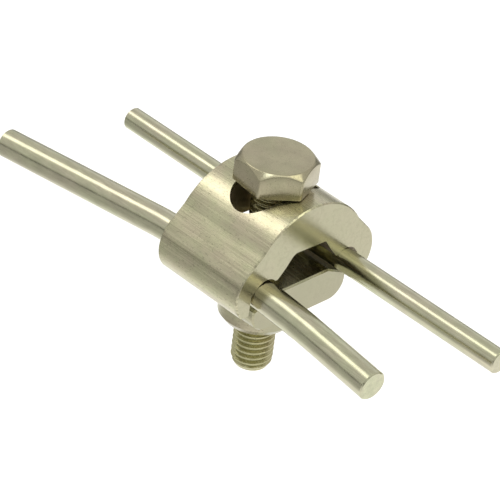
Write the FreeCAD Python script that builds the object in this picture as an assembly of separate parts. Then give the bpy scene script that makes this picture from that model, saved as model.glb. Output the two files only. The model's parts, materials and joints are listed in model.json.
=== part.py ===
import FreeCAD, Part
import math
import os

# Earthing pipe clamp: one bolt draws two jaws together on a pair of round conductors.
# Millimetres. X runs across the conductors, Y along them and Z up.
# The pieces are drawn about the middle of the upper jaw's round back, right under the
# bolt head. The finished clamp then has its origin on the axis of the thinner conductor,
# halfway along the jaws.

# Hexagon bolt
shank_radius = 4.925
bolt_length = 50.0
head_across_flats = 17.0
head_height = 6.4
head_top_radius = 8.25
head_chamfer_angle = 30.0
head_turn = -38.5
tip_chamfer_height = 1.6
tip_chamfer_depth = 0.9
head_seat_gap = 0.15

# Conductors
near_radius = 3.55
far_radius = 2.80
near_front_reach = 49.0
near_rear_reach = 71.0
far_front_reach = 61.0
far_rear_reach = 60.0
near_flank_gap = 0.015
near_slide_front = 0.60
near_slide_rear = 0.02
near_bend_start = 0.4
near_front_bend_radius = 260.0
near_front_sideways = 0.057
near_front_drop = 0.070
near_rear_bend_radius = 75.0
near_rear_sideways = 0.088
near_rear_drop = 0.063
conductor_end_break = 0.3

# Upper jaw, a round back with a lobe hanging down on each side
back_radius = 18.3
upper_length = 26.0
groove_inset = 5.65
groove_drop = 0.35
groove_clearance = 0.05
groove_flank_angle = 40.0
far_seat_angle = 125.0
far_seat_gap = 0.02
lobe_radius = 8.1
lobe_out = 0.75
lobe_up = 1.05
lobe_depth = 4.85
lobe_wall_gap = 0.09
lobe_outer_round = 1.2
lobe_inner_round = 0.5
leg_rise = 2.45
leg_tip_width = 0.75
leg_tip_round = 0.25
roof_rise = 5.4
roof_half_width = 4.9
roof_near_round = 2.2
roof_far_round = 0.5
neck_angle = 55.8
neck_round = 2.0
wall_bend_in = 2.04
wall_bend_up = 2.25
slot_length = 23.0
slot_width = 11.5
slot_edge_break = 0.35
outline_edge_break = 0.3

# Lower jaw, a bar with sloping shoulders and a tapped boss underneath
shoulder_angle = 25.0
shoulder_start = 8.5
shoulder_gap = 0.06
jaw_lean = 2.08
lower_end_gap = 2.1
lower_set_back = 0.85
lower_thickness = 9.15
lower_corner_round = 4.8
lower_edge_break = 0.4
boss_radius = 9.33
boss_height = 7.2
boss_chamfer_depth = 1.33
boss_chamfer_height = 1.7
bore_clearance = 0.05
bore_mouth_break = 0.6


def point(x, z, y=0.0):
    return FreeCAD.Vector(x, y, z)


def line(start, end):
    return Part.LineSegment(start, end).toShape()


def arc(start, middle, end):
    return Part.Arc(start, middle, end).toShape()


def on_circle(centre, radius, degrees):
    turn = math.radians(degrees)
    return centre + point(radius * math.cos(turn), radius * math.sin(turn))


def mirrored(place):
    return FreeCAD.Vector(-place.x, place.y, place.z)


def extruded(edges, length):
    """A closed outline in the XZ plane, extruded to both sides along Y."""
    face = Part.Face(Part.Wire(edges))
    face.translate(FreeCAD.Vector(0, -length / 2, 0))
    return face.extrude(FreeCAD.Vector(0, length, 0))


def edges_along_y(solid, place):
    """The straight edges along Y that pass through a place in the XZ plane."""
    found = []
    for edge in solid.Edges:
        start = edge.Vertexes[0].Point
        end = edge.Vertexes[-1].Point
        flat_start = FreeCAD.Vector(start.x, 0, start.z)
        flat_end = FreeCAD.Vector(end.x, 0, end.z)
        here = flat_start.distanceToPoint(place) < 1e-4
        if here and flat_end.distanceToPoint(place) < 1e-4 and edge.Length > 1.0:
            found.append(edge)
    return found


def end_face_edges(solid, half_length, wanted):
    """The edges of the two end faces whose middles the test accepts."""
    found = []
    for edge in solid.Edges:
        box = edge.BoundBox
        on_end = abs(box.YLength) < 1e-6 and abs(abs(box.YMin) - half_length) < 1e-6
        middle = edge.valueAt((edge.FirstParameter + edge.LastParameter) / 2)
        if on_end and wanted(middle):
            found.append(edge)
    return found


def revolved(corners):
    """A closed outline of (radius, height) corners turned about the Z axis."""
    places = [point(radius, height) for radius, height in corners]
    wire = Part.makePolygon(places + [places[0]])
    return Part.Face(wire).revolve(FreeCAD.Vector(), FreeCAD.Vector(0, 0, 1), 360)


# Grooves of the upper jaw, and the seat of the thinner conductor in its own
groove_reach = back_radius - groove_inset
groove_height = -back_radius - groove_drop
near_groove = point(-groove_reach, groove_height)
far_groove = point(groove_reach, groove_height)
groove_radius = near_radius + groove_clearance
far_seat_offset = groove_radius - far_radius - far_seat_gap
far_seat = on_circle(far_groove, far_seat_offset, far_seat_angle)

# The thicker conductor rests on the groove's straight flank, lower in front than behind
near_toward_flank = 180 - groove_flank_angle
near_beside_flank = on_circle(near_groove, groove_radius - near_radius - near_flank_gap,
                              near_toward_flank)
near_front_seat = on_circle(near_beside_flank, near_slide_front, near_toward_flank + 90)
near_rear_seat = on_circle(near_beside_flank, near_slide_rear, near_toward_flank + 90)
near_front_seat.y = -upper_length / 2
near_rear_seat.y = upper_length / 2
lobe_wall_reach = -near_front_seat.x + near_radius + lobe_wall_gap

# The bolt and the lower jaw lean about the middle of the round back, because the
# conductors differ. The shoulders come up to the first conductor that they meet.
back_centre = point(0, -back_radius)
slope = math.radians(shoulder_angle)
lean = math.radians(jaw_lean)


def shoulder_distance(centre, radius, side):
    """From the middle of the round back down to a shoulder that touches a conductor."""
    across = centre.x - back_centre.x
    height = centre.z - back_centre.z
    leaned_across = math.cos(lean) * across + math.sin(lean) * height
    leaned_height = math.cos(lean) * height - math.sin(lean) * across
    return math.cos(slope) * leaned_height + side * math.sin(slope) * leaned_across - radius


near_shoulder = shoulder_distance(near_front_seat, near_radius, -1)
far_shoulder = shoulder_distance(far_seat, far_radius, 1)
shoulder_plane = min(near_shoulder, far_shoulder) - shoulder_gap


def leaned(solid):
    """Turn a piece drawn about the upright bolt axis to the bolt's real lean."""
    turned = solid.copy()
    turned.rotate(back_centre, FreeCAD.Vector(0, 1, 0), -math.degrees(lean))
    return turned


def make_bolt():
    seat = head_seat_gap
    hexagon = []
    corner_radius = head_across_flats / math.sqrt(3)
    for number in range(7):
        turn = math.radians(head_turn + 60 * number)
        corner = FreeCAD.Vector(corner_radius * math.cos(turn), corner_radius * math.sin(turn), seat)
        hexagon.append(corner)
    prism = Part.Face(Part.makePolygon(hexagon)).extrude(FreeCAD.Vector(0, 0, head_height))
    fall = (corner_radius - head_top_radius) * math.tan(math.radians(head_chamfer_angle))
    top = seat + head_height
    turned_head = revolved([(0, seat), (corner_radius, seat), (corner_radius, top - fall),
                            (head_top_radius, top), (0, top)])
    tip = seat - bolt_length
    shank = revolved([(0, seat), (0, tip), (shank_radius - tip_chamfer_depth, tip),
                      (shank_radius, tip + tip_chamfer_height), (shank_radius, seat)])
    head = prism.common(turned_head)
    return leaned(head.fuse(shank).removeSplitter())


def make_upper_jaw():
    lobe_centre = point(groove_reach + lobe_out, groove_height + lobe_up)
    lobe_foot = groove_height - lobe_depth
    kink = on_circle(back_centre, back_radius, 90 - neck_angle)
    to_kink = kink - lobe_centre
    neck_opening = math.degrees(math.acos(lobe_radius / to_kink.Length))
    kink_angle = math.degrees(math.atan2(to_kink.z, to_kink.x))
    neck_foot = on_circle(lobe_centre, lobe_radius, kink_angle - neck_opening)
    foot_run = math.sqrt(lobe_radius ** 2 - (lobe_centre.z - lobe_foot) ** 2)
    foot = point(lobe_centre.x + foot_run, lobe_foot)
    side = on_circle(lobe_centre, lobe_radius, 0)
    outline = [arc(mirrored(kink), point(0, 0), kink),
               line(kink, neck_foot),
               arc(neck_foot, side, foot),
               line(foot, mirrored(foot)),
               arc(mirrored(foot), mirrored(side), mirrored(neck_foot)),
               line(mirrored(neck_foot), mirrored(kink))]
    solid = extruded(outline, upper_length)

    # Underside: a tall gap in the middle, a leg and a groove on each side of it
    flank_top = on_circle(far_groove, groove_radius, groove_flank_angle)
    flank = math.radians(groove_flank_angle)
    flank_run = lobe_wall_reach - flank_top.x
    flank_foot = point(lobe_wall_reach, flank_top.z - flank_run / math.tan(flank))
    groove_top = on_circle(far_groove, groove_radius, 90)
    leg_end = groove_height + leg_rise
    leg_outer = point(groove_reach - math.sqrt(groove_radius ** 2 - leg_rise ** 2), leg_end)
    leg_inner = point(leg_outer.x - leg_tip_width, leg_end)
    wall_bend = point(leg_inner.x - wall_bend_in, leg_end + wall_bend_up)
    roof_corner = point(roof_half_width, leg_end + roof_rise)
    below = lobe_foot - lobe_radius
    wall_foot = point(lobe_wall_reach, below)
    under = [line(mirrored(wall_foot), mirrored(flank_foot)),
             line(mirrored(flank_foot), mirrored(flank_top)),
             arc(mirrored(flank_top), mirrored(groove_top), mirrored(leg_outer)),
             line(mirrored(leg_outer), mirrored(leg_inner)),
             line(mirrored(leg_inner), mirrored(wall_bend)),
             line(mirrored(wall_bend), mirrored(roof_corner)),
             line(mirrored(roof_corner), roof_corner),
             line(roof_corner, wall_bend),
             line(wall_bend, leg_inner),
             line(leg_inner, leg_outer),
             arc(leg_outer, groove_top, flank_top),
             line(flank_top, flank_foot),
             line(flank_foot, wall_foot),
             line(wall_foot, mirrored(wall_foot))]
    solid = solid.cut(extruded(under, upper_length + 2))

    # Cast corners along the length
    inner_foot = point(lobe_wall_reach, lobe_foot)
    roundings = [(kink, neck_round), (mirrored(kink), neck_round),
                 (foot, lobe_outer_round), (mirrored(foot), lobe_outer_round),
                 (inner_foot, lobe_inner_round), (mirrored(inner_foot), lobe_inner_round),
                 (leg_outer, leg_tip_round), (mirrored(leg_outer), leg_tip_round),
                 (leg_inner, leg_tip_round), (mirrored(leg_inner), leg_tip_round),
                 (mirrored(roof_corner), roof_near_round), (roof_corner, roof_far_round)]
    for place, radius in roundings:
        solid = solid.makeFillet(radius, edges_along_y(solid, place))

    # Small break all round the outside of the two sawn ends
    def outside(middle):
        from_back = point(middle.x, middle.z).distanceToPoint(back_centre)
        from_lobe = point(abs(middle.x), middle.z).distanceToPoint(lobe_centre)
        on_back = abs(from_back - back_radius) < 1e-3
        return on_back or abs(from_lobe - lobe_radius) < 1e-3
    rim = end_face_edges(solid, upper_length / 2, outside)
    solid = solid.makeChamfer(outline_edge_break, rim)

    # Slot across the round back, so that the bolt can stand at a lean
    end_radius = slot_width / 2
    end_reach = slot_length / 2 - end_radius
    corners = [FreeCAD.Vector(-end_reach, -end_radius, 0), FreeCAD.Vector(end_reach, -end_radius, 0),
               FreeCAD.Vector(end_reach, end_radius, 0), FreeCAD.Vector(-end_reach, end_radius, 0)]
    right_end = FreeCAD.Vector(end_reach + end_radius, 0, 0)
    slot_outline = [line(corners[0], corners[1]), arc(corners[1], right_end, corners[2]),
                    line(corners[2], corners[3]), arc(corners[3], mirrored(right_end), corners[0])]
    slot = Part.Face(Part.Wire(slot_outline)).extrude(FreeCAD.Vector(0, 0, 2 * lobe_foot))
    slot.translate(FreeCAD.Vector(0, 0, back_radius))
    solid = solid.cut(slot)
    mouth = []
    for edge in solid.Edges:
        middle = edge.valueAt((edge.FirstParameter + edge.LastParameter) / 2)
        from_back = point(middle.x, middle.z).distanceToPoint(back_centre)
        if abs(from_back - back_radius) < 1e-3 and abs(middle.y) < end_radius + 1e-3:
            mouth.append(edge)
    return solid.makeChamfer(slot_edge_break, mouth)


def make_lower_jaw():
    half_width = lobe_wall_reach - lower_end_gap
    rise = math.tan(slope)
    top = back_centre.z + shoulder_plane / math.cos(slope) - rise * shoulder_start
    shoulder_foot = point(half_width, top - rise * (half_width - shoulder_start))
    shoulder_top = point(shoulder_start, top)
    bottom = top - lower_thickness
    bottom_corner = point(half_width, bottom)
    outline = [line(mirrored(shoulder_top), shoulder_top),
               line(shoulder_top, shoulder_foot),
               line(shoulder_foot, bottom_corner),
               line(bottom_corner, mirrored(bottom_corner)),
               line(mirrored(bottom_corner), mirrored(shoulder_foot)),
               line(mirrored(shoulder_foot), mirrored(shoulder_top))]
    length = upper_length - 2 * lower_set_back
    bar = extruded(outline, length)
    for place in (bottom_corner, mirrored(bottom_corner)):
        bar = bar.makeFillet(lower_corner_round, edges_along_y(bar, place))
    bar = bar.makeChamfer(lower_edge_break, end_face_edges(bar, length / 2, lambda middle: True))

    # Boss under the bar, with the tapped hole through both
    boss_top = (top + bottom) / 2
    boss_end = bottom - boss_height
    boss = revolved([(0, boss_top), (boss_radius, boss_top),
                     (boss_radius, boss_end + boss_chamfer_height),
                     (boss_radius - boss_chamfer_depth, boss_end), (0, boss_end)])
    bore_radius = shank_radius + bore_clearance
    beyond = bore_mouth_break
    bore = revolved([(0, top + beyond), (bore_radius + 2 * beyond, top + beyond),
                     (bore_radius, top - beyond), (bore_radius, boss_end + beyond),
                     (bore_radius + 2 * beyond, boss_end - beyond), (0, boss_end - beyond)])
    return leaned(bar.fuse(boss).removeSplitter().cut(bore))


def broken_ends(solid, radius):
    """Break the edge of each sawn end of a rod."""
    rims = [edge for edge in solid.Edges
            if edge.Closed and abs(edge.Length - 2 * math.pi * radius) < 1e-3]
    ends = sorted(rims, key=lambda edge: edge.CenterOfMass.y)
    return solid.makeChamfer(conductor_end_break, [ends[0], ends[-1]])


def make_far_conductor():
    front = far_seat - FreeCAD.Vector(0, far_front_reach, 0)
    length = far_front_reach + far_rear_reach
    rod = Part.makeCylinder(far_radius, length, front, FreeCAD.Vector(0, 1, 0))
    return broken_ends(rod, far_radius)


def make_near_conductor():
    seat_way = (near_front_seat - near_rear_seat).normalize()
    ways = []
    for seat, entering, bend_radius, sideways, drop, reach in (
            (near_front_seat, seat_way, near_front_bend_radius,
             near_front_sideways, near_front_drop, near_front_reach),
            (near_rear_seat, -seat_way, near_rear_bend_radius,
             near_rear_sideways, near_rear_drop, near_rear_reach)):
        leaving = FreeCAD.Vector(-sideways, math.copysign(1, seat.y), -drop).normalize()
        half_turn = entering.getAngle(leaving) / 2
        run = bend_radius * math.tan(half_turn)
        start = seat + entering * near_bend_start
        corner = start + entering * run
        bulge = bend_radius / math.cos(half_turn) - bend_radius
        middle = corner + (leaving - entering).normalize() * bulge
        end = corner + leaving * run
        tip = end + leaving * ((reach - abs(end.y)) / abs(leaving.y))
        ways.append((start, middle, end, tip))
    front, rear = ways
    path = Part.Wire([line(front[3], front[2]), arc(front[2], front[1], front[0]),
                      line(front[0], rear[0]),
                      arc(rear[0], rear[1], rear[2]), line(rear[2], rear[3])])
    circle = Part.Circle(front[3], front[2] - front[3], near_radius)
    rod = path.makePipeShell([Part.Wire([circle.toShape()])], True, True)
    return broken_ends(rod, near_radius)


def save(solid, node):
    """Move a finished piece so that the origin is on the thinner conductor's axis."""
    placed = solid.copy()
    placed.translate(FreeCAD.Vector(-far_seat.x, 0, -far_seat.z))
    placed.exportStep("parts/" + node + ".step")


os.makedirs("parts", exist_ok=True)
save(make_upper_jaw(), "upper_jaw")
save(make_lower_jaw(), "lower_jaw")
save(make_bolt(), "bolt")
save(make_near_conductor(), "near_conductor")
save(make_far_conductor(), "far_conductor")
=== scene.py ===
import json
import math

import bmesh
import bpy
from mathutils import Matrix, Vector


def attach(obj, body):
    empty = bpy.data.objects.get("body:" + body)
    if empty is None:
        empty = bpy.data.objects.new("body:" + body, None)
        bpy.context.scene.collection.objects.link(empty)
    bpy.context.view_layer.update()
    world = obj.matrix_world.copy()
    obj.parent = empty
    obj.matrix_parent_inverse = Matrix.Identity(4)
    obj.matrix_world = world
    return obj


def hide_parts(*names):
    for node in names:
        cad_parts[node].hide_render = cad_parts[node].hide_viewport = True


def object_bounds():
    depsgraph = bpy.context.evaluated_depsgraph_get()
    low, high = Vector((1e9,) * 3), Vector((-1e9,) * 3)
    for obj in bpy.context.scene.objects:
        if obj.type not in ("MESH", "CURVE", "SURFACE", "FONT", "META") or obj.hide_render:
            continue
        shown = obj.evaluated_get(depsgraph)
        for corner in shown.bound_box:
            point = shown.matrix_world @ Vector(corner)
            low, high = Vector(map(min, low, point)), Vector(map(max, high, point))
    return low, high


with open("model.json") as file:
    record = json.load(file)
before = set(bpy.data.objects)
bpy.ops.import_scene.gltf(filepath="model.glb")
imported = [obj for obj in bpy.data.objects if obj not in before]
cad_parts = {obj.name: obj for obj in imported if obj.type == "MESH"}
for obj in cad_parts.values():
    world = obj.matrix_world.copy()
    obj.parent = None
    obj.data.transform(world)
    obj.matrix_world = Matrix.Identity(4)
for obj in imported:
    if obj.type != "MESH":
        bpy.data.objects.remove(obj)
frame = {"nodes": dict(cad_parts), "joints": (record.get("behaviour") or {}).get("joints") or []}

CAD_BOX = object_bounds()
NODES = frame["nodes"]
MM = 0.001


# Bolt with its real thread. Sizes in millimetres along and around the bolt axis, which the
# frame gives. Heights count from the middle of the upper jaw's round back.

HINGE = next(joint for joint in frame["joints"] if joint["name"] == "bolt_turn")
AXIS = Vector(HINGE["axis"]).normalized()
PIVOT = Vector(HINGE["pos_m"])
SEAT = 18.45
HEAD_HEIGHT = 6.4
ACROSS_FLATS = 17.0
HEAD_TURN = -38.5
TOP_RADIUS = 8.12
CHAMFER = math.radians(45)
CORNER_ROUND = 0.8
EDGE_ROUND = 0.14
HALF_SIDE = math.radians(30)
HEAD_SEGMENTS = 288
SHANK_RADIUS = 4.925
BOLT_LENGTH = 50.0
TIP_RISE = 1.6
TIP_DEPTH = 0.9
THREAD_PITCH = 1.5
THREAD_DEPTH = 0.81
THREAD_INSIDE_HEAD = 0.4
THREAD_SEGMENTS = 72

# One pitch of thread: place in pitches from the crest's middle, and share of the full depth
THREAD_PROFILE = ((-0.5, 1.0), (-0.43, 1.0), (-0.375, 0.95), (-0.33, 0.84), (-0.11, 0.14),
                  (-0.075, 0.03), (-0.04, 0.0), (0.04, 0.0), (0.075, 0.03), (0.11, 0.14),
                  (0.33, 0.84), (0.375, 0.95), (0.43, 1.0))


# Shader helpers

def clear_tree(owner):
    owner.use_nodes = True
    owner.node_tree.nodes.clear()
    return owner.node_tree


def add(tree, kind, **values):
    """A node with its inputs set: plain values are set, sockets are linked."""
    node = tree.nodes.new(kind)
    for key, value in values.items():
        if hasattr(node, key) and key not in node.inputs:
            setattr(node, key, value)
            continue
        socket = node.inputs[int(key[1:])] if key[0] == "_" else node.inputs[key.replace("_", " ")]
        if isinstance(value, bpy.types.NodeSocket):
            tree.links.new(value, socket)
        else:
            socket.default_value = value
    return node


def math_node(tree, operation, first, second=0.0):
    return add(tree, "ShaderNodeMath", operation=operation, _0=first, _1=second).outputs[0]


def multiply(tree, first, second):
    return math_node(tree, "MULTIPLY", first, second)


def vector_math(tree, operation, first, second, output=0):
    return add(tree, "ShaderNodeVectorMath", operation=operation, _0=first, _1=second).outputs[output]


def remap(tree, value, low, high, to_low, to_high):
    node = add(tree, "ShaderNodeMapRange", Value=value)
    node.inputs["From Min"].default_value = low
    node.inputs["From Max"].default_value = high
    node.inputs["To Min"].default_value = to_low
    node.inputs["To Max"].default_value = to_high
    return node.outputs["Result"]


def mix_colour(tree, factor, first, second, blend="MIX"):
    node = add(tree, "ShaderNodeMix", data_type="RGBA", blend_type=blend)
    for place, value in ((0, factor), (6, first), (7, second)):
        socket = node.inputs[place]
        if isinstance(value, bpy.types.NodeSocket):
            tree.links.new(value, socket)
        elif socket.type == "RGBA":
            socket.default_value = (*value, 1.0)
        else:
            socket.default_value = value
    return node.outputs[2]


def mix_value(tree, factor, first, second):
    node = add(tree, "ShaderNodeMix", data_type="FLOAT")
    for place, value in ((0, factor), (2, first), (3, second)):
        tree.links.new(value, node.inputs[place])
    return node.outputs[0]


def stretched_noise(tree, coordinates, grains_per_mm, detail=2.0, rough=0.5):
    """Noise whose grain has its own size along X, Y and Z."""
    mapping = add(tree, "ShaderNodeMapping", Vector=coordinates)
    mapping.inputs["Scale"].default_value = tuple(value / MM for value in grains_per_mm)
    noise = add(tree, "ShaderNodeTexNoise", Vector=mapping.outputs[0], Scale=1.0, Detail=detail,
                Roughness=rough)
    return noise.outputs["Fac"]


def size_along_y(tree, vector):
    """How far a vector reaches along Y, to either side."""
    return math_node(tree, "ABSOLUTE", add(tree, "ShaderNodeSeparateXYZ", Vector=vector).outputs["Y"])


def along(tree, here, way, start):
    """How far a place lies from a starting place along a direction, in metres."""
    away = vector_math(tree, "SUBTRACT", here, tuple(start))
    return vector_math(tree, "DOT_PRODUCT", away, tuple(way), "Value")


def flat_distance(tree, here, middle, plane):
    """Distance of a place from a middle, in metres, counting only the axes of a plane."""
    away = vector_math(tree, "SUBTRACT", here, tuple(middle))
    return vector_math(tree, "LENGTH", vector_math(tree, "MULTIPLY", away, plane), (0, 0, 0), "Value")


def scaled(colour, share):
    return tuple(min(part * share, 1.0) for part in colour)


# Materials. Grains are counted per millimetre along X, Y and Z, with Y along the rods.

NOISE_RANGE = (0.3, 0.7)
FACES_END = (0.80, 0.90)
SPECK_GRAIN = (2.2, 1.1, 2.2)
SPECK_RANGE = (0.56, 0.70)
NICK_GRAIN = (0.9, 0.7, 0.9)
NICK_RANGE = (0.50, 0.60)
PATCH_GRAIN = (0.16, 0.10, 0.16)
PATCH_RANGE = (0.38, 0.62)
PATCH_GREEN = (0.94, 1.0, 0.90)
PATCH_PINK = (1.0, 0.96, 0.97)
CLOUD_RANGE = (0.35, 0.65)
JAW_RIM = (12.0 * MM, 12.8 * MM)
# Where the painted recess shade reaches: short of the jaw's ends, and within the round back
RECESS_SHADE_ENDS = (12.3 * MM, 12.7 * MM)
RECESS_SHADE_REACH = (17.4 * MM, 17.8 * MM)
THREAD_START = (-0.4 * MM, -0.1 * MM)


def with_specks(tree, here, tint, rough, colour, amount, plain):
    """Fine dark specks in the plating."""
    grain = stretched_noise(tree, here, SPECK_GRAIN, detail=3.0, rough=0.7)
    dots = multiply(tree, remap(tree, grain, *SPECK_RANGE, 0.0, 1.0), plain)
    tint = mix_colour(tree, multiply(tree, dots, amount), tint, scaled(colour, 0.3))
    return tint, math_node(tree, "ADD", rough, multiply(tree, dots, 0.12))


def with_nicks(tree, here, tint, rough, colour, amount, plain):
    """Small dark chips along the rim of the jaw's ends."""
    rim = remap(tree, size_along_y(tree, here), *JAW_RIM, 0.0, 1.0)
    grain = stretched_noise(tree, here, NICK_GRAIN, detail=3.0, rough=0.7)
    chips = remap(tree, grain, *NICK_RANGE, 0.0, amount)
    chipped = multiply(tree, multiply(tree, rim, chips), plain)
    tint = mix_colour(tree, chipped, tint, scaled(colour, 0.4))
    return tint, math_node(tree, "ADD", rough, multiply(tree, chipped, 0.2))


def with_painted_recess_shade(tree, here, tint, rough, recess_shade):
    """Painted shade: a darker, browner, duller colour in the slot, the gap and the grooves, under the
    jaw's round back.
    """
    from_axis = flat_distance(tree, here, PIVOT, (1.0, 0.0, 1.0))
    within = remap(tree, from_axis, *RECESS_SHADE_REACH, 1.0, 0.0)
    between_ends = remap(tree, size_along_y(tree, here), *RECESS_SHADE_ENDS, 1.0, 0.0)
    recess_shade_mask = multiply(tree, within, between_ends)
    # painted shade: the recesses under the round back take the darker recess colour
    tint = mix_colour(tree, recess_shade_mask, tint, recess_shade)
    return tint, math_node(tree, "ADD", rough, multiply(tree, recess_shade_mask, 0.16))


def metal(name, colour, roughness, streaks, streak_tint, streak_bump, mottle, mottle_share,
          plating, end_colour=None, end_roughness=None, end_marks=None, specks=0.0, nicks=0.0,
          recess_shade=None, thread=None):
    """Plated metal with drawn streaks. Sawn ends have faint saw marks and look plainer. It can also
    paint shade into the recesses under the jaw's round back.
    """
    material = bpy.data.materials.new(name)
    tree = clear_tree(material)
    place = add(tree, "ShaderNodeTexCoord")
    here = place.outputs["Object"]
    height = stretched_noise(tree, here, streaks, detail=4.0, rough=0.6)
    tint = mix_colour(tree, remap(tree, height, *NOISE_RANGE, 0.0, 1.0),
                      scaled(colour, 1 - streak_tint), scaled(colour, 1 + streak_tint))
    rough = remap(tree, height, *NOISE_RANGE, roughness - 0.05, roughness + 0.06)
    plain = 1.0
    if end_colour:
        on_end = remap(tree, size_along_y(tree, place.outputs["Normal"]), *FACES_END, 0.0, 1.0)
        marks = stretched_noise(tree, here, end_marks, detail=4.0, rough=0.6)
        end = mix_colour(tree, remap(tree, marks, *NOISE_RANGE, 0.0, 1.0),
                         scaled(end_colour, 0.94), end_colour)
        end_rough = remap(tree, marks, *NOISE_RANGE, end_roughness - 0.04, end_roughness + 0.04)
        tint = mix_colour(tree, on_end, tint, end)
        rough = mix_value(tree, on_end, rough, end_rough)
        height = mix_value(tree, on_end, height, marks)
        plain = remap(tree, on_end, 0.0, 1.0, 1.0, 0.2)
    if thread:
        above_seat = along(tree, here, AXIS, PIVOT + AXIS * SEAT * MM)
        tint = mix_colour(tree, remap(tree, above_seat, *THREAD_START, 1.0, 0.0), tint, thread)
    if specks:
        tint, rough = with_specks(tree, here, tint, rough, colour, specks, plain)
    if nicks:
        tint, rough = with_nicks(tree, here, tint, rough, colour, nicks, plain)
    # painted shade in the recesses under the jaw's round back
    if recess_shade:
        tint, rough = with_painted_recess_shade(tree, here, tint, rough, recess_shade)
    cloud = remap(tree, stretched_noise(tree, here, mottle, detail=3.0), *CLOUD_RANGE, mottle_share, 0.0)
    stain = math_node(tree, "SUBTRACT", 1.0, multiply(tree, cloud, plain))
    tint = mix_colour(tree, 1.0, tint, stain, blend="MULTIPLY")
    patches = remap(tree, stretched_noise(tree, here, PATCH_GRAIN, detail=3.0, rough=0.6),
                    *PATCH_RANGE, 0.0, 1.0)
    bloom = mix_colour(tree, 1.0, tint, mix_colour(tree, patches, PATCH_GREEN, PATCH_PINK),
                       blend="MULTIPLY")
    tint = mix_colour(tree, multiply(tree, plain, plating), tint, bloom)
    bump = add(tree, "ShaderNodeBump", Strength=1.0, Distance=streak_bump * MM, Height=height)
    shader = add(tree, "ShaderNodeBsdfPrincipled", Base_Color=tint, Roughness=rough, Metallic=1.0,
                 Normal=bump.outputs[0])
    out = add(tree, "ShaderNodeOutputMaterial")
    tree.links.new(shader.outputs[0], out.inputs["Surface"])
    return material


JAW_LOOK = dict(roughness=0.24, streaks=(5.0, 0.05, 5.0), streak_tint=0.16, streak_bump=0.005,
                end_roughness=0.20, end_marks=(6.0, 1.0, 0.25), mottle=(0.5, 0.12, 0.5),
                mottle_share=0.14, plating=0.8, specks=0.5)
# The upper jaw's recess colour (0.56, 0.49, 0.40) is painted shade in its slot, gap and grooves.
UPPER = metal("plated_upper_jaw", colour=(0.60, 0.565, 0.405), end_colour=(0.47, 0.45, 0.318),
              nicks=0.6, recess_shade=(0.56, 0.49, 0.40), **JAW_LOOK)
LOWER = metal("plated_lower_jaw", colour=(0.43, 0.405, 0.285), end_colour=(0.405, 0.387, 0.275),
              **JAW_LOOK)
BOLT = metal("plated_bolt", colour=(0.445, 0.408, 0.282), roughness=0.22, streaks=(7.0, 7.0, 7.0),
             streak_tint=0.07, streak_bump=0.0015, mottle=(0.25, 0.25, 0.25), mottle_share=0.12,
             plating=0.4, specks=0.15, thread=(0.51, 0.478, 0.285))
WIRE = metal("drawn_wire", colour=(0.575, 0.56, 0.415), roughness=0.20, streaks=(4.0, 0.02, 4.0),
             streak_tint=0.08, streak_bump=0.004, mottle=(0.8, 0.25, 0.8), mottle_share=0.12,
             plating=0.6)

for node, material in (("upper_jaw", UPPER), ("lower_jaw", LOWER), ("near_conductor", WIRE),
                       ("far_conductor", WIRE), ("bolt", BOLT)):
    NODES[node].data.materials.clear()
    NODES[node].data.materials.append(material)


# Bolt mesh

def ringed_mesh(rings, start, end):
    """A closed surface through rings of points, with a middle point at each end."""
    count = len(rings[0])
    verts = [start] + [point for ring in rings for point in ring] + [end]
    faces = [(0, 1 + (k + 1) % count, 1 + k) for k in range(count)]
    for row in range(len(rings) - 1):
        low, high = 1 + row * count, 1 + (row + 1) * count
        faces += [(low + k, low + (k + 1) % count, high + (k + 1) % count, high + k)
                  for k in range(count)]
    last = 1 + (len(rings) - 1) * count
    faces += [(last + k, last + (k + 1) % count, len(verts) - 1) for k in range(count)]
    return verts, faces


def hexagon_reach(angle):
    """Distance from the axis to the rounded hexagon in a direction, in millimetres."""
    flat = ACROSS_FLATS / 2
    from_flat = (math.degrees(angle) - HEAD_TURN) % 60 - 30
    off = math.radians(abs(from_flat))
    tangent = math.atan((flat - CORNER_ROUND) * math.tan(HALF_SIDE) / flat)
    if off <= tangent:
        return flat / math.cos(off)
    centre = (flat - CORNER_ROUND) / math.cos(HALF_SIDE)
    from_corner = HALF_SIDE - off
    across = centre * math.sin(from_corner)
    return centre * math.cos(from_corner) + math.sqrt(CORNER_ROUND ** 2 - across ** 2)


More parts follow.
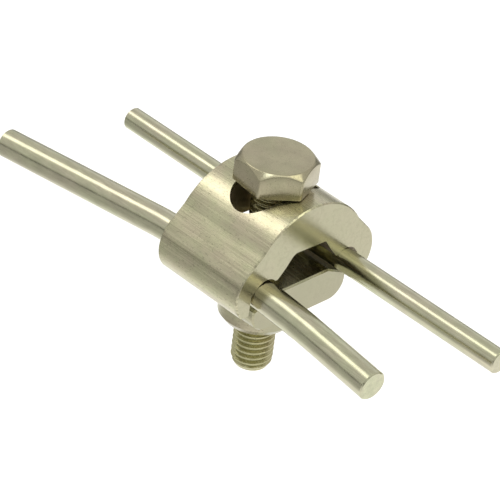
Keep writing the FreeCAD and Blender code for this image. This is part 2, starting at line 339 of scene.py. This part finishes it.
def head_mesh():
    """The hexagon head, ring by ring from its underside over the flats and chamfer to its top."""
    top = SEAT + HEAD_HEIGHT
    fall = math.tan(CHAMFER)
    angles = [2 * math.pi * k / HEAD_SEGMENTS for k in range(HEAD_SEGMENTS)]
    reach = [hexagon_reach(angle) for angle in angles]
    rings = []

    def ring(radius_of, height_of):
        rings.append([(radius_of(h) * math.cos(a), radius_of(h) * math.sin(a), height_of(h))
                      for a, h in zip(angles, reach)])

    def edge(h):
        return top - (h - TOP_RADIUS) * fall

    for share in (0.35, 0.7):
        ring(lambda h: share * h, lambda h: SEAT)
    ring(lambda h: h - EDGE_ROUND, lambda h: SEAT)
    ring(lambda h: h - EDGE_ROUND * 0.3, lambda h: SEAT + EDGE_ROUND * 0.3)
    ring(lambda h: h, lambda h: SEAT + EDGE_ROUND)
    for share in (0.3, 0.6):
        ring(lambda h: h, lambda h: SEAT + share * (edge(h) - SEAT))
    ring(lambda h: h, lambda h: edge(h) - EDGE_ROUND)
    ring(lambda h: h - EDGE_ROUND * 0.2, lambda h: edge(h) - EDGE_ROUND * 0.2)
    ring(lambda h: h - EDGE_ROUND, lambda h: edge(h) + EDGE_ROUND * fall * 0.9)
    ring(lambda h: TOP_RADIUS + EDGE_ROUND, lambda h: top - EDGE_ROUND * fall)
    ring(lambda h: TOP_RADIUS, lambda h: top - EDGE_ROUND * 0.1)
    ring(lambda h: TOP_RADIUS - EDGE_ROUND, lambda h: top)
    for share in (0.7, 0.35):
        ring(lambda h: share * TOP_RADIUS, lambda h: top)
    return ringed_mesh(rings, (0, 0, SEAT), (0, 0, top))


def thread_rings():
    """Rings that follow the helix, so that every crest and root is one clean line."""
    tip = SEAT - BOLT_LENGTH
    top = SEAT + THREAD_INSIDE_HEAD
    turns = int(BOLT_LENGTH / THREAD_PITCH) + 2
    rings = []
    for turn in range(turns, -2, -1):
        for phase, depth in reversed(THREAD_PROFILE):
            ring = []
            for k in range(THREAD_SEGMENTS):
                angle = 2 * math.pi * k / THREAD_SEGMENTS
                height = max(tip + (turn + phase + k / THREAD_SEGMENTS) * THREAD_PITCH, tip)
                slope_limit = SHANK_RADIUS - TIP_DEPTH + (height - tip) * TIP_DEPTH / TIP_RISE
                radius = min(SHANK_RADIUS - depth * THREAD_DEPTH, slope_limit)
                if height > top:
                    height, radius = top, SHANK_RADIUS
                ring.append((radius * math.cos(angle), radius * math.sin(angle), height))
            rings.append(ring)
    return rings, (0, 0, top), (0, 0, tip)


def thread_mesh():
    """The threaded shank. A ring that has turned once round joins the ring one pitch on."""
    rings, start, end = thread_rings()
    count = THREAD_SEGMENTS
    verts = [start] + [point for ring in rings for point in ring] + [end]
    faces = []
    for row in range(len(rings) - 1):
        for k in range(count - 1):
            faces.append(((row + 1, k), (row + 1, k + 1), (row, k + 1), (row, k)))
        up = row - len(THREAD_PROFILE)
        if up >= 0:
            faces.append(((row + 1, count - 1), (up + 1, 0), (up, 0), (row, count - 1)))
    faces = [tuple(1 + r * count + k for r, k in face) for face in faces]
    last = 1 + (len(rings) - 1) * count
    for k in range(count):
        beside = (k + 1) % count
        faces.append((0, 1 + k, 1 + beside))
        faces.append((len(verts) - 1, last + beside, last + k))
    return verts, faces


def make_bolt():
    verts, faces = head_mesh()
    shank_verts, shank_faces = thread_mesh()
    faces += [tuple(index + len(verts) for index in face) for face in shank_faces]
    verts += shank_verts
    across = Vector((AXIS.z, 0.0, -AXIS.x))
    rods = Vector((0.0, 1.0, 0.0))
    placed = [tuple(PIVOT + MM * (across * x + rods * y + AXIS * z)) for x, y, z in verts]
    mesh = bpy.data.meshes.new("hex_bolt")
    mesh.from_pydata(placed, [], faces)
    work = bmesh.new()
    work.from_mesh(mesh)
    bmesh.ops.remove_doubles(work, verts=work.verts, dist=1e-7)
    bmesh.ops.dissolve_degenerate(work, edges=work.edges, dist=1e-7)
    bmesh.ops.recalc_face_normals(work, faces=work.faces)
    work.to_mesh(mesh)
    work.free()
    mesh.shade_smooth()
    mesh.set_sharp_from_angle(angle=math.radians(50))
    mesh.materials.append(BOLT)
    bolt = bpy.data.objects.new("hex_bolt", mesh)
    bpy.context.scene.collection.objects.link(bolt)
    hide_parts("bolt")
    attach(bolt, "screw")


make_bolt()


# Floor, well below, because the clamp hangs on its conductors. Where the camera sees it, it
# glows white for the camera and for mirrors: a painted pool of light that fades with distance
# and towards one side. Beyond, its paint is darkened with painted shade.

FLOOR_HEIGHT = CAD_BOX[0][2] - 0.06
FLOOR_REACH = 4.0
FLOOR_COLOUR = (0.80, 0.80, 0.80)
FLOOR_WHITE = 0.44
GLOW_MIDDLE = (0.10, 0.08, 0.0)
GLOW_REACH = (0.24, 0.50)
GLOW_SIDE = (-1.0, 0.8, 0.0)
GLOW_SIDE_REACH = (0.085, 0.15)
SHADE = 0.72
SHADE_REACH = (0.36, 0.60)
SHADE_SIDE_REACH = (0.12, 0.24)


def make_floor():
    mesh = bpy.data.meshes.new("floor")
    corners = ((-1, -1), (1, -1), (1, 1), (-1, 1))
    mesh.from_pydata([(x * FLOOR_REACH, y * FLOOR_REACH, FLOOR_HEIGHT) for x, y in corners],
                     [], [(0, 1, 2, 3)])
    floor = bpy.data.objects.new("floor", mesh)
    bpy.context.scene.collection.objects.link(floor)
    material = bpy.data.materials.new("pale_floor")
    tree = clear_tree(material)
    rays = add(tree, "ShaderNodeLightPath").outputs
    seen = math_node(tree, "MAXIMUM", rays["Is Camera Ray"], rays["Is Glossy Ray"])
    seen = math_node(tree, "MAXIMUM", seen, rays["Is Transmission Ray"])
    here = add(tree, "ShaderNodeTexCoord").outputs["Object"]
    away = flat_distance(tree, here, GLOW_MIDDLE, (1.0, 1.0, 0.0))
    aside = along(tree, here, GLOW_SIDE, (0.0, 0.0, 0.0))
    # painted shade: the floor's paint darkens away from the middle and towards one side
    shade = math_node(tree, "MINIMUM", remap(tree, away, *SHADE_REACH, 1.0, SHADE),
                      remap(tree, aside, *SHADE_SIDE_REACH, 1.0, SHADE))
    paint = add(tree, "ShaderNodeBsdfDiffuse",
                Color=mix_colour(tree, shade, (0.0, 0.0, 0.0), FLOOR_COLOUR))
    # painted pool of light: the white glow fades with distance and towards one side
    white = multiply(tree, remap(tree, away, *GLOW_REACH, FLOOR_WHITE, 0.0),
                     remap(tree, aside, *GLOW_SIDE_REACH, 1.0, 0.0))
    glow = add(tree, "ShaderNodeEmission", Color=(1.0, 1.0, 1.0, 1.0),
               Strength=multiply(tree, seen, white))
    both = add(tree, "ShaderNodeAddShader", _0=paint.outputs[0], _1=glow.outputs[0])
    out = add(tree, "ShaderNodeOutputMaterial")
    tree.links.new(both.outputs[0], out.inputs["Surface"])
    mesh.materials.append(material)


make_floor()


# Studio light: a pale room, darker towards the horizon, and soft boxes

WORLD_STOPS = (
    (0.00, (0.10, 0.11, 0.09)),
    (0.03, (0.12, 0.13, 0.11)),
    (0.06, (0.45, 0.45, 0.40)),
    (0.20, (0.70, 0.70, 0.68)),
    (0.50, (0.74, 0.73, 0.70)),
    (1.00, (0.76, 0.74, 0.72)),
)
WARM = (1.0, 0.97, 0.92)


def make_world():
    world = bpy.data.worlds.new("studio")
    bpy.context.scene.world = world
    tree = clear_tree(world)
    way = add(tree, "ShaderNodeTexCoord").outputs["Generated"]
    height = add(tree, "ShaderNodeSeparateXYZ", Vector=way).outputs["Z"]
    ramp = add(tree, "ShaderNodeValToRGB", Fac=height)
    elements = ramp.color_ramp.elements
    while len(elements) < len(WORLD_STOPS):
        elements.new(0.5)
    for element, (position, colour) in zip(elements, WORLD_STOPS):
        element.position = position
        element.color = (*colour, 1.0)
    light = add(tree, "ShaderNodeBackground", Color=ramp.outputs["Color"], Strength=1.0)
    out = add(tree, "ShaderNodeOutputWorld")
    tree.links.new(light.outputs[0], out.inputs["Surface"])


def over_rods(degrees, up=0.5625):
    """A direction across the rods, by its turn from the top, and by its reach along them."""
    flat = math.sqrt(1 - up ** 2)
    turn = math.radians(degrees)
    return Vector((-flat * math.sin(turn), up, flat * math.cos(turn)))


def soft_box(name, direction, distance, size, power, colour):
    """A lamp in a direction from the clamp, turned towards it, its width across the rods."""
    lamp = bpy.data.lights.new(name, "AREA")
    lamp.shape = "RECTANGLE"
    lamp.size, lamp.size_y = size
    lamp.energy = power
    lamp.color = colour
    holder = bpy.data.objects.new(name, lamp)
    way = Vector(direction).normalized()
    along_rods = (Vector((0.0, 1.0, 0.0)) - way * way.y).normalized()
    turn = Matrix((along_rods.cross(way), along_rods, way)).transposed().to_4x4()
    holder.matrix_world = Matrix.Translation(PIVOT + way * distance) @ turn
    bpy.context.scene.collection.objects.link(holder)


make_world()
soft_box("top_box", over_rods(15), 1.0, (0.27, 0.50), 0.66, WARM)
soft_box("side_box", over_rods(26), 1.0, (0.16, 0.50), 0.20, WARM)
soft_box("over_box", over_rods(18, 0.0), 1.0, (0.45, 0.46), 0.75, (0.96, 0.98, 1.0))
soft_box("front_box", over_rods(18, -0.5), 1.0, (0.45, 0.50), 0.60, (1.0, 0.98, 0.95))
soft_box("left_corner_box", (-0.53, -0.14, 0.83), 1.0, (0.20, 0.24), 0.50, (0.90, 0.95, 1.0))
soft_box("right_corner_box", (0.22, -0.65, 0.73), 1.0, (0.50, 0.20), 0.60, (1.0, 0.97, 0.80))
soft_box("cool_box", (0.72, 0.56, 0.42), 1.2, (0.7, 0.5), 0.2, (0.88, 0.92, 1.0))


# Camera at the photograph's viewing angle

CAMERA_AZIMUTH = math.radians(-48.49)
CAMERA_ELEVATION = math.radians(31.93)
CAMERA_ROLL = math.radians(9.25)
CAMERA_PLACE = Vector((-0.389412, -0.329155, 0.310588))
CAMERA_LENS = 187.386
CAMERA_SENSOR = 36.0


def make_camera():
    flat = math.cos(CAMERA_ELEVATION)
    back = Vector((math.sin(CAMERA_AZIMUTH) * flat, -math.cos(CAMERA_AZIMUTH) * flat,
                   math.sin(CAMERA_ELEVATION)))
    level = Vector((math.cos(CAMERA_AZIMUTH), math.sin(CAMERA_AZIMUTH), 0.0))
    upright = back.cross(level)
    right = level * math.cos(CAMERA_ROLL) + upright * math.sin(CAMERA_ROLL)
    camera = bpy.data.cameras.new("camera")
    camera.lens = CAMERA_LENS
    camera.sensor_width = CAMERA_SENSOR
    camera.clip_start = 0.01
    camera.clip_end = 20.0
    holder = bpy.data.objects.new("camera", camera)
    turn = Matrix((right, back.cross(right), back)).transposed().to_4x4()
    holder.matrix_world = Matrix.Translation(CAMERA_PLACE) @ turn
    bpy.context.scene.collection.objects.link(holder)
    bpy.context.scene.camera = holder


make_camera()
bpy.context.scene.view_settings.view_transform = "Standard"
